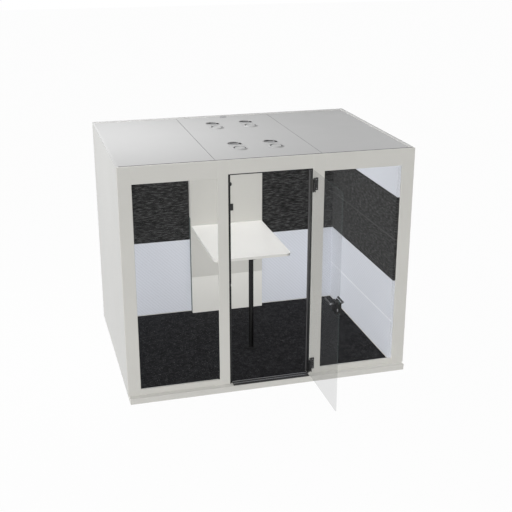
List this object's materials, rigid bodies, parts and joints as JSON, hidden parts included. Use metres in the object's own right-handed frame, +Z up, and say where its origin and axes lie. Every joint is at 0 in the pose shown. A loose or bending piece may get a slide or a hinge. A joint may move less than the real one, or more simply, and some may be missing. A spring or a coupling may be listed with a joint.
{
  "type": "acoustic office pod",
  "caption": "Walk-in acoustic meeting pod: glazed front with an outward-swinging glass door, fabric-lined walls, vented roof and a standing-height table on a media wall.",
  "frame": {"origin": "on the floor under the middle of the pod's body, on the underside of the base platform", "axes": "+Z up, +Y from the glazed front to the rear wall, +X to the right seen from the front"},
  "size_m": [2.815, 2.797, 2.3],
  "materials": {
    "front_lacquer": "satin",
    "wall_lacquer": "satin",
    "roof_sheet": "satin",
    "ceiling_felt": "matte",
    "light_fabric": "matte",
    "dark_fabric": "matte",
    "carpet": "matte",
    "media_board": "satin",
    "table_board": "satin",
    "window_glass": "polished",
    "door_glass": "polished",
    "black_aluminium": "satin",
    "black_steel": "satin",
    "bolt_steel": "satin",
    "black_plastic": "matte",
    "vent_plastic": "satin",
    "diffuser": "matte"
  },
  "bodies": {
    "pod": {"base_platform": "front_lacquer", "carpet": "carpet", "threshold_plate": "black_aluminium", "side_wall_left": "wall_lacquer", "side_wall_right": "wall_lacquer", "rear_wall": "wall_lacquer", "side_lining_left_1": "light_fabric", "side_lining_left_2": "light_fabric", "side_lining_left_3": "dark_fabric", "side_lining_left_4": "dark_fabric", "side_lining_left_5": "light_fabric", "side_lining_right_1": "light_fabric", "side_lining_right_2": "light_fabric", "side_lining_right_3": "dark_fabric", "side_lining_right_4": "dark_fabric", "side_lining_right_5": "light_fabric", "rear_lining_lower": "light_fabric", "rear_lining_middle": "dark_fabric", "rear_lining_top": "light_fabric", "roof_panel_left": "roof_sheet", "roof_panel_centre": "roof_sheet", "roof_panel_right": "roof_sheet", "ceiling_panel": "ceiling_felt", "ceiling_light": "diffuser", "mains_inlet": "black_plastic", "vent_housing_front_left": "vent_plastic", "vent_housing_front_right": "vent_plastic", "vent_housing_rear_left": "vent_plastic", "vent_housing_rear_right": "vent_plastic", "corner_post_left": "front_lacquer", "corner_post_right": "front_lacquer", "latch_post": "front_lacquer", "hinge_post": "front_lacquer", "window_head_left": "front_lacquer", "window_head_right": "front_lacquer", "window_sill_left": "front_lacquer", "window_sill_right": "front_lacquer", "door_head": "front_lacquer", "window_pane_left": "window_glass", "window_pane_right": "window_glass", "door_frame": "black_aluminium", "hinge_fixed_leaf_lower": "black_steel", "hinge_fixed_leaf_upper": "black_steel", "media_cover_lower": "media_board", "media_cover_upper": "media_board", "power_socket": "black_plastic", "table_top": "table_board", "table_leg": "black_steel", "table_bracket": "black_steel"},
    "door": {"door_leaf": "door_glass", "hinge_moving_leaf_lower": "black_steel", "hinge_moving_leaf_upper": "black_steel", "lock_case": "black_steel"},
    "levers": {"lever_inside": "black_steel", "lever_outside": "black_steel"},
    "latch": {"latch_bolt": "bolt_steel"},
    "fan_front_left": {"fan_rotor_front_left": "black_plastic"},
    "fan_front_right": {"fan_rotor_front_right": "black_plastic"},
    "fan_rear_left": {"fan_rotor_rear_left": "black_plastic"},
    "fan_rear_right": {"fan_rotor_rear_right": "black_plastic"}
  },
  "joints": [
    {"name": "door_swing", "type": "hinge", "parent": "pod", "child": "door", "pos_m": [0.405, -1.0045, 0], "axis": [0, 0, 1], "range_deg": [-90, 20]},
    {"name": "lever_turn", "type": "hinge", "parent": "door", "child": "levers", "pos_m": [0.386, -1.7375, 1.127], "axis": [-1, 0, 0], "range_deg": [0, 45], "stiffness_Nm_per_rad": 1.5, "springref_deg": -28.65},
    {"name": "latch_slide", "type": "slide", "parent": "door", "child": "latch", "axis": [0, 1, 0], "range_m": [0, 0.0095]},
    {"name": "fan_front_left_spin", "type": "hinge", "parent": "pod", "child": "fan_front_left", "pos_m": [-0.18, -0.3235, 2.258], "axis": [0, 0, 1], "continuous": true},
    {"name": "fan_front_right_spin", "type": "hinge", "parent": "pod", "child": "fan_front_right", "pos_m": [0.18, -0.3235, 2.258], "axis": [0, 0, 1], "continuous": true},
    {"name": "fan_rear_left_spin", "type": "hinge", "parent": "pod", "child": "fan_rear_left", "pos_m": [-0.18, 0.6315, 2.258], "axis": [0, 0, 1], "continuous": true},
    {"name": "fan_rear_right_spin", "type": "hinge", "parent": "pod", "child": "fan_rear_right", "pos_m": [0.18, 0.6315, 2.258], "axis": [0, 0, 1], "continuous": true}
  ],
  "couplings": [
    {"joint": "latch_slide", "follows": "lever_turn", "m_per_rad": 0.01146}
  ]
}
